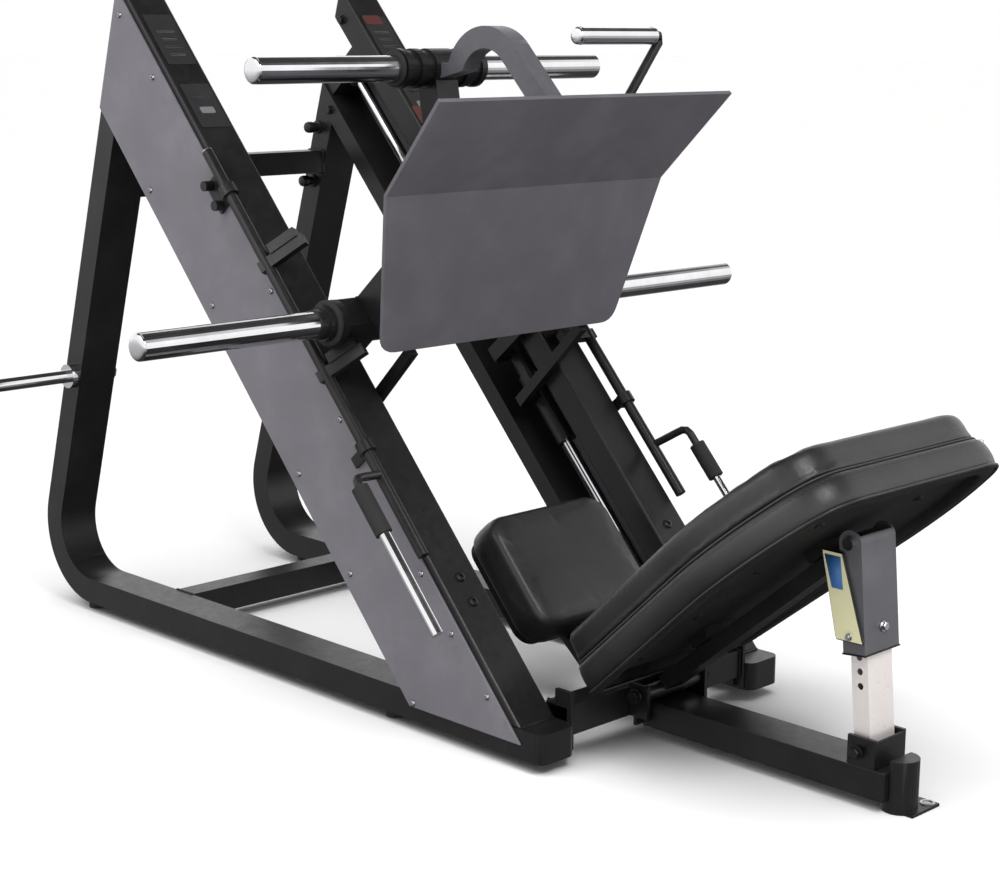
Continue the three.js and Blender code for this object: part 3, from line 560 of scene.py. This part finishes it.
def paint_underside(mesh, material):
    """Paints the base pad's low rim and the recess inside it."""
    rim_level, recess_level = 0.0008, 0.031
    mesh.materials.append(material)
    for polygon in mesh.polygons:
        level = polygon.center.z
        in_recess = polygon.normal.z < -0.9 and level < recess_level
        polygon.material_index = int(level < rim_level or in_recess)


def pad_piece(name, shape, to_world, body, replaced, puffed=None, underside=None):
    """A soft piece over a CAD pad; puffed is (voxel, cap, held_below) for a simulated one."""
    obj = make_object(name, *shape, vinyl, 80.0)
    if puffed:
        puff(obj, *puffed)
        obj.data.materials.clear()
        obj.data.materials.append(vinyl)
    if underside:
        paint_underside(obj.data, underside)
    for vertex in obj.data.vertices:
        vertex.co = to_world(*vertex.co)
    for polygon in obj.data.polygons:
        polygon.use_smooth = True
    finer = obj.modifiers.new("finer", "SUBSURF")
    finer.render_levels = finer.levels = 1
    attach(obj, body)
    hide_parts(replaced)


BACK_MIDDLE = (0.0, 0.36)
cushion = lofted(back_plan, [
    (0.0612, 0.150, 1.0), (0.0610, 0.060, 1.0), (0.0608, 0.022, 1.0), (0.0608, 0.0165, 1.0),
    (0.0630, 0.0128, 1.0), (0.0680, 0.0106, 1.0), (0.0780, 0.0096, 1.0), (0.0920, 0.0096, 1.0),
    (0.1040, 0.0106, 1.0), (0.1110, 0.0134, 1.0), (0.1160, 0.0185, 1.0), (0.1185, 0.0260, 1.0),
    (0.1198, 0.0400, 1.0), (0.1206, 0.0650, 1.0), (0.1212, 0.1000, 1.0), (0.1218, 0.1400, 0.9),
    (0.1222, 0.1500, 0.55)], BACK_MIDDLE, bottom=0.0612, top=0.1225)
pad_piece("backrest_cushion_soft", cushion, on_back_rest, "back_rest", "backrest_cushion",
          puffed=(0.0055, 0.0030, 0.068))

base = lofted(back_plan, [
    (0.0303, 0.150, 1.0), (0.0303, 0.060, 1.0), (0.0303, 0.0362, 1.0), (0.0290, 0.0345, 1.0),
    (0.0150, 0.0340, 1.0), (0.0040, 0.0330, 1.0), (0.0010, 0.0310, 1.0), (0.0000, 0.0280, 1.0),
    (0.0000, 0.0120, 1.0), (0.0015, 0.0060, 1.0), (0.0060, 0.0018, 1.0), (0.0140, -0.0004, 1.0),
    (0.0260, -0.0016, 1.0), (0.0380, -0.0012, 1.0), (0.0480, 0.0008, 1.0), (0.0545, 0.0042, 1.0),
    (0.0582, 0.0090, 1.0), (0.0596, 0.0150, 1.0), (0.0598, 0.0300, 1.0), (0.0598, 0.0800, 1.0),
    (0.0598, 0.1500, 1.0)], BACK_MIDDLE, bottom=0.0303, top=0.0598)
pad_piece("backrest_base_soft", base, on_back_rest, "back_rest", "backrest_base_pad",
          underside=board_paint)

SEAT_MIDDLE = (0.0, 0.213)
seat = lofted(seat_plan, [
    (-0.0750, 0.080, 1.0), (-0.0750, 0.020, 1.0), (-0.0746, 0.010, 1.0), (-0.0725, 0.0055, 1.0),
    (-0.0670, 0.0022, 1.0), (-0.0560, 0.0006, 1.0), (-0.0380, 0.0000, 1.0), (-0.0220, 0.0012, 1.0),
    (-0.0090, 0.0032, 1.0), (-0.0030, 0.0065, 1.0), (0.0004, 0.0110, 1.0), (0.0022, 0.0180, 1.0),
    (0.0034, 0.0320, 1.0), (0.0042, 0.0600, 1.0), (0.0046, 0.0900, 0.8)],
    SEAT_MIDDLE, bottom=-0.0750, top=0.0048)
pad_piece("seat_pad_soft", seat, on_track, "frame", "seat_pad", puffed=(0.005, 0.0014, -0.066))


def piping(name, level, inset, radius, material):
    """A round cord along the back rest's outline."""
    line = [on_back_rest(p.x, p.y, level) for p in back_plan(inset, 14)]
    gather(name, [tube_along(resample(line, 0.006), radius, 8)], material,
           "back_rest", 80)


def stitching(name, level, inset):
    """Short raised thread stitches along the back rest's outline."""
    spacing, half_length, radius = 0.0075, 0.0024, 0.00055
    line = resample([Vector((p.x, p.y, level)) for p in back_plan(inset, 12)], spacing)
    shapes = []
    for a, b in zip(line, line[1:] + line[:1]):
        if (b - a).length < spacing * 0.4:
            continue
        middle = (a + b) / 2
        half = (b - a).normalized() * half_length
        ends = [on_back_rest(*p) for p in (middle - half, middle, middle + half)]
        shapes.append(tube_along(ends, radius, 5, closed=False))
    gather(name, shapes, thread_and_painted_highlight, "back_rest", 80)


piping("base_pad_piping", 0.0030, 0.0012, 0.0030, vinyl)
# the welt in the groove takes the paler thread material, a painted highlight along the groove's
# edge
piping("backrest_welt", 0.0602, 0.0098, 0.0021, thread_and_painted_highlight)
stitching("base_pad_stitching", 0.0500, -0.0004)

# ---------------------------------------------------------------- fasteners, caps and trim

def add_shaft_caps():
    dome = [(0.0108, 0), (0.0108, 0.0012), (0.0098, 0.0030), (0.0070, 0.0044), (0.0030, 0.0050),
            (0.0004, 0.0051)]
    for label, side in SIDES:
        cap = turned(dome, on_track(side * 0.356, 1.2052, 0.014), ALONG, 24)
        gather(f"{label}_shaft_cap", [cap], zinc, f"{label}_safety", 40)


def add_cover_screws():
    """Screws of the rail covers, at places along and off the track read from the photo."""
    places = [(0.603, -0.027), (0.593, -0.200), (0.369, -0.202), (0.268, -0.030), (0.144, -0.034),
              (0.012, -0.030), (0.096, -0.214), (1.600, -0.040), (1.437, -0.040), (1.282, -0.204),
              (0.989, -0.198), (0.900, -0.028)]
    sunk = 0.0002
    for label, side in SIDES:
        heads = [button_screw(on_track(side * (COVER_FACE - sunk), s, n), (side, 0, 0))
                 for s, n in places]
        gather(f"{label}_cover_screws", heads, zinc, "frame", 30)


def add_frame_bolts():
    """Rail screws, knobs and bolts on the uprights' inner faces, and the storage horns' nuts."""
    knob = [(0.0150, 0), (0.0150, 0.0040), (0.0095, 0.0052), (0.0095, 0.0130), (0.0118, 0.0150),
            (0.0125, 0.0200), (0.0125, 0.0290), (0.0112, 0.0328), (0.0070, 0.0345),
            (0.0006, 0.0350)]
    for label, side in SIDES:
        inward = (-side, 0, 0)
        shapes = [button_screw(on_track(side * x, s, -0.0002), OFF, 0.010, 0.005)
                  for x, s in ((0.288, 0.232), (0.289, 0.180))]
        for y, z in ((0.940, 1.048), (0.961, 0.926)):
            shapes.append(turned(knob, placed(side * FRAME_INNER, y, z), inward))
        for y, z in ((0.854, 1.287), (0.898, 1.088)):
            shapes += hex_bolt(placed(side * FRAME_INNER, y, z), inward, 0.016, 0.007, 0.011)
        gather(f"{label}_frame_bolts", shapes, black_steel, "frame", 30)
        nut = hex_bolt(STORAGE_HORN + Vector((side * FRAME_INNER, 0, 0)), inward,
                       0.030, 0.013, 0.019)
        gather(f"{label}_storage_nut", nut, zinc, "frame", 30)


def add_low_bolts():
    """Bolts of the hinge bracket, the post's clevis and the front cross tube, and the anchor."""
    shapes = []
    for x in (-0.062, 0.062):
        for z in (0.040, 0.080):
            shapes += hex_bolt(placed(x, -0.3283, z), (0, -1, 0), 0.013, 0.007, 0.0095)
    for side in (-1, 1):
        outward, inward = (side, 0, 0), (-side, 0, 0)
        shapes += hex_bolt(HINGE + Vector((side * 0.092, 0, 0)), outward, 0.022, 0.010, 0.014)
        shapes += hex_bolt(placed(side * 0.052, -0.7985, 0.098), outward, 0.017, 0.008, 0.0115)
        for z in (0.037, 0.117):
            shapes += hex_bolt(placed(side * 0.2377, -0.309, z), inward, 0.014, 0.007, 0.010)
    gather("low_frame_bolts", shapes, black_steel, "frame", 30)
    anchor = turned([(0.013, 0), (0.013, 0.0015), (0.0085, 0.0022), (0.0085, 0.0006)],
                    placed(0.046, -0.878, 0.005), (0, 0, 1), 24)
    gather("floor_anchor_washer", [anchor], zinc, "frame", 30)


def add_rod_bumpers():
    """Rubber rings at both ends of each guide rod."""
    section = [(0.0133, 0), (0.021, 0.0005), (0.0235, 0.003), (0.0235, 0.0115), (0.021, 0.0145),
               (0.0133, 0.015)]
    for label, side in SIDES:
        shapes = [tube_ring(section, on_track(side * 0.287, s, -0.121), ALONG)
                  for s in (0.1865, 1.4845)]
        gather(f"{label}_rod_bumpers", shapes, rubber, "frame", 40)


def add_horn_trim():
    """Domed end caps on all the horns, and rubber collars on the plate horns."""
    lower_horn = on_track(0, CROSS_TUBE_S, CROSS_TUBE_N)
    horns = (("lower", "carriage", lower_horn, 0.781, 0.025),
             ("upper", "carriage", UPPER_HORN, 0.447, 0.025),
             ("storage", "frame", STORAGE_HORN, 0.596, 0.014))
    dome = ((0.98, 0), (0.98, 0.0012), (0.93, 0.0032), (0.80, 0.0046), (0.55, 0.0054),
            (0.25, 0.0058))
    thick = [(0.0335, 0), (0.041, 0.0004), (0.043, 0.0022), (0.043, 0.0072), (0.041, 0.0090),
             (0.0335, 0.0094)]
    thin = [(0.0255, 0), (0.033, 0.0004), (0.0345, 0.0018), (0.0345, 0.0050), (0.033, 0.0064),
            (0.0255, 0.0068)]
    for label, side in SIDES:
        outward = (side, 0, 0)
        for what, body, centre, tip, radius in horns:
            profile = [(radius * share, height) for share, height in dome] + [(0.0008, 0.0059)]
            cap = turned(profile, centre + Vector((side * tip, 0, 0)), outward, 40)
            gather(f"{label}_{what}_horn_cap", [cap], chrome, body, 50)
        collars = [tube_ring(thick, lower_horn + Vector((side * 0.3593, 0, 0)), outward),
                   tube_ring(thin, UPPER_HORN + Vector((side * 0.1044, 0, 0)), outward)]
        gather(f"{label}_horn_collars", collars, rubber, "carriage", 40)


def add_grab_details():
    dome = [(0.0157, 0), (0.0157, 0.001), (0.0148, 0.0026), (0.0120, 0.0040), (0.0070, 0.0048),
            (0.0006, 0.0051)]
    gather("grab_grip_cap", [turned(dome, GRAB_END, (-1, 0, 0), 32)], chrome,
           "carriage", 50)
    section = [(0.0158, 0), (0.0165, 0.0006), (0.0165, 0.0018), (0.0158, 0.0024)]
    rings = [tube_ring(section, Vector((x, GRAB_END.y, GRAB_END.z)), (1, 0, 0))
             for x in (-0.006, 0.188)]
    gather("grab_grip_rings", rings, chrome, "carriage", 40)


def add_post_details():
    """Bolt, lip and lever of the adjusting post, in its own leaning directions."""
    lean = Vector((0, 0.0946, 0.9955))
    face = Vector((0, 0.9955, -0.0946))

    def at(x, y, z):
        return POST_PIVOT + Vector((x, 0, 0)) + face * y + lean * z

    def outline(x, corners):
        return [at(x, y, z) for y, z in corners]

    bolt = hex_bolt(at(0.004, -0.0222, -0.147), -face, 0.013, 0.006, 0.0095)
    gather("post_sleeve_bolt", bolt, zinc, "post_outer", 30)
    half_x, half_y, low = 0.0494, 0.0224, -0.1885
    lip = [at(x, y, low) for x, y in ((-half_x, -half_y), (half_x, -half_y),
                                      (half_x, half_y), (-half_x, half_y))]
    gather("post_sleeve_lip", [tube_along(resample(lip, 0.004), 0.0016, 8)], black_steel,
           "post_outer", 60)
    patch = outline(-0.0565, ((0.0125, -0.078), (0.0345, -0.076), (0.0470, -0.020),
                              (0.0150, -0.023)))
    gather("lever_blue_patch", [slab_shape(patch, 0.0005, (-1, 0, 0))], blue_label,
           "lock_lever", 30)
    rim = outline(-0.0530, ((-0.021, -0.166), (0.030, -0.162), (0.051, -0.014), (0.013, -0.018)))
    gather("lever_frame", [tube_along(resample(rim, 0.003), 0.0026, 8)], black_steel,
           "lock_lever", 60)
    screw = hex_bolt(at(-0.0562, 0.004, -0.157), (-1, 0, 0), 0.009, 0.004, 0.0065)
    gather("lever_pivot_screw", screw, zinc, "lock_lever", 30)


def add_label_patches():
    """Plain patches where the real frame has instruction labels; nothing is written on them."""
    def patch(x, s, width, height, lift):
        points = [on_track(x + a, s + b, 0.0003)
                  for a, b in rounded_rectangle(width, height, 0.004)]
        return slab_shape(points, lift, OFF)

    ground_lift, mark_lift, red_lift = 0.0006, 0.0009, 0.0010
    dark, light = [], []
    for _, side in SIDES:
        x = side * 0.290
        dark.append(patch(x, 1.500, 0.070, 0.130, ground_lift))
        dark.append(patch(x, 1.330, 0.070, 0.110, ground_lift))
        for k in range(4):
            light.append(patch(x, 1.520 - 0.020 * k, 0.046 - 0.006 * (k % 2), 0.0045, mark_lift))
        light.append(patch(x, 1.318, 0.034, 0.016, mark_lift))
        light.append(patch(x, 1.352, 0.040, 0.004, mark_lift))
    gather("rail_label_grounds", dark, board_paint, "frame", 30)
    gather("rail_label_marks", light, grey_cover, "frame", 30)
    red = painted("red_label", (0.055, 0.012, 0.010), (0.10, 0.024, 0.020), (0.45, 0.6),
                  texture=0.1, scuffs=0.3)
    marks = [patch(0.284, 1.556, 0.050, 0.026, red_lift),
             patch(0.264, 1.288, 0.026, 0.048, red_lift)]
    gather("rail_red_patches", marks, red, "frame", 30)


def weld_around(x, y0, y1, z0, z1):
    """A bead around a tube's end, in a plane across the machine."""
    return weld_bead([placed(x, y, z) for y, z in ((y0, z0), (y1, z0), (y1, z1), (y0, z1))])


def add_welds():
    fixed = []
    rail_foot_y = on_track(0, -0.0685, -0.0005).y
    for side in (-1, 1):
        x = side * (FRAME_INNER - 0.0006)
        fixed.append(weld_around(x, 0.923, 0.973, 0.946, 0.996))
        fixed.append(weld_around(x, 0.785, 0.840, 0.0225, 0.076))
        fixed.append(weld_around(side * 0.2382, -0.322, -0.267, 0.048, 0.103))
        line = [Vector((side * a, rail_foot_y, 0.0768)) for a in (0.250, 0.332)]
        fixed.append(weld_bead(line, 0.0032, False))
    gather("frame_welds", fixed, black_steel, "frame", 80)

    mast_foot = [on_track(x, CROSS_TUBE_TOP, n)
                 for x, n in ((-0.029, 0.066), (0.029, 0.066), (0.029, 0.118), (-0.029, 0.118))]
    moving = [weld_bead(mast_foot)]
    for side in (-1, 1):
        for sx in (-0.0055, 0.0055):
            x = side * RAIL_MIDDLE + sx
            line = [on_track(x, CROSS_TUBE_TOP, n) for n in (0.068, 0.119)]
            moving.append(weld_bead(line, 0.0028, False))
        for sx in (-0.0095, 0.0095):
            line = [on_track(side * 0.231 + sx, s, 0.0595) for s in (0.732, 0.760)]
            moving.append(weld_bead(line, 0.0028, False))
    gather("carriage_welds", moving, black_steel, "carriage", 80)


def add_board_screws():
    heads = [button_screw(on_back_rest(x, t, 0.0180), -OUT_PAD, 0.009, 0.0035)
             for t in (0.080, 0.240, 0.400, 0.560) for x in (-0.140, 0.140)]
    gather("backrest_board_screws", heads, black_steel, "back_rest", 30)


add_shaft_caps()
add_cover_screws()
add_frame_bolts()
add_low_bolts()
add_rod_bumpers()
add_horn_trim()
add_grab_details()
add_post_details()
add_label_patches()
add_welds()
add_board_screws()

# ---------------------------------------------------------------- floor, light and camera

REACH, FLOOR_LEVEL = 60.0, -0.0006
floor_mesh = bpy.data.meshes.new("floor")
floor_mesh.from_pydata([(-REACH, -REACH, FLOOR_LEVEL), (REACH, -REACH, FLOOR_LEVEL),
                        (REACH, REACH, FLOOR_LEVEL), (-REACH, REACH, FLOOR_LEVEL)],
                       [], [(0, 1, 2, 3)])
floor = linked("floor", floor_mesh)
floor_paint, tree, shader, coords = new_material("pale_floor")
tree.links.new(ramp(tree, noise(tree, coords, 3.0), [(0.3, (0.86, 0.86, 0.86)),
                                                     (0.7, (0.88, 0.88, 0.88))]),
               shader.inputs["Base Color"])
shader.inputs["Roughness"].default_value = 0.85
shader.inputs["Specular IOR Level"].default_value = 0.2
floor_mesh.materials.append(floor_paint)
floor.visible_glossy = False

world = bpy.data.worlds.new("studio")
scene.world = world
world.use_nodes = True


def mixed_shader(tree, factor, shader_0, shader_1):
    node = tree.nodes.new("ShaderNodeMixShader")
    tree.links.new(factor, node.inputs["Fac"])
    tree.links.new(shader_0, node.inputs[1])
    tree.links.new(shader_1, node.inputs[2])
    return node.outputs[0]


def studio_sky(tree):
    """White behind the part, soft grey light around it, and a bright band for reflections."""
    behind = tree.nodes["Background"]
    behind.inputs["Color"].default_value = (1.0, 1.0, 1.0, 1)
    behind.inputs["Strength"].default_value = 1.0
    soft = tree.nodes.new("ShaderNodeBackground")
    soft.inputs["Color"].default_value = (1.0, 0.985, 0.98, 1)
    soft.inputs["Strength"].default_value = 0.42
    band = tree.nodes.new("ShaderNodeBackground")
    band.inputs["Strength"].default_value = 1.0
    direction = tree.nodes.new("ShaderNodeTexCoord").outputs["Generated"]
    split = tree.nodes.new("ShaderNodeSeparateXYZ")
    tree.links.new(direction, split.inputs["Vector"])
    height = tree.nodes.new("ShaderNodeMapRange")
    height.inputs["From Min"].default_value = -1.0
    height.inputs["From Max"].default_value = 1.0
    tree.links.new(split.outputs["Z"], height.inputs["Value"])
    greys = ((0.0, 0.04), (0.22, 0.05), (0.33, 0.34), (0.44, 0.62), (0.49, 1.2), (0.77, 1.25),
             (0.81, 0.08), (0.95, 0.03), (1.0, 0.6))          # from straight down to straight up
    color = ramp(tree, height.outputs["Result"], [(level, (v, v, v)) for level, v in greys])
    tree.links.new(color, band.inputs["Color"])
    path = tree.nodes.new("ShaderNodeLightPath")
    around = mixed_shader(tree, path.outputs["Is Glossy Ray"], soft.outputs[0], band.outputs[0])
    seen = mixed_shader(tree, path.outputs["Is Camera Ray"], around, behind.outputs[0])
    tree.links.new(seen, tree.nodes["World Output"].inputs["Surface"])


studio_sky(world.node_tree)


def softbox(name, place, target, size, power):
    data = bpy.data.lights.new(name, "AREA")
    data.shape = "RECTANGLE"
    data.size, data.size_y = size
    data.energy = power
    lamp = linked(name, data)
    lamp.location = place
    lamp.rotation_euler = (Vector(target) - Vector(place)).to_track_quat("-Z", "Y").to_euler()


softbox("key_light", (-2.8, 0.6, 2.6), (0, 0, 0.6), (2.0, 1.4), 21)
softbox("front_fill", (-1.0, -3.2, 3.7), (0, -0.1, 0.8), (1.6, 1.2), 76)

sun_data = bpy.data.lights.new("overhead_sun", "SUN")
sun_data.energy = 2.45
sun_data.angle = math.radians(70)
sun = linked("overhead_sun", sun_data)
sun.rotation_euler = (math.radians(8), math.radians(-14), 0)
sun.visible_glossy = False

RIGHT = Vector((0.70881, -0.70535, 0.00834))
UPWARD = Vector((0.13634, 0.14859, 0.97946))
FORWARD = Vector((0.69210, 0.69311, -0.20149))
camera_data = bpy.data.cameras.new("photo_view")
camera_data.sensor_width = 36.0
camera_data.lens = 72.36
camera_data.clip_end = 200
camera = linked("photo_view", camera_data)
turn = Matrix((RIGHT, UPWARD, -FORWARD)).transposed().to_4x4()
camera.matrix_world = Matrix.Translation(placed(-2.7178, -2.6215, 1.2840)) @ turn
bpy.context.scene.camera = camera
scene.view_settings.view_transform = "Standard"
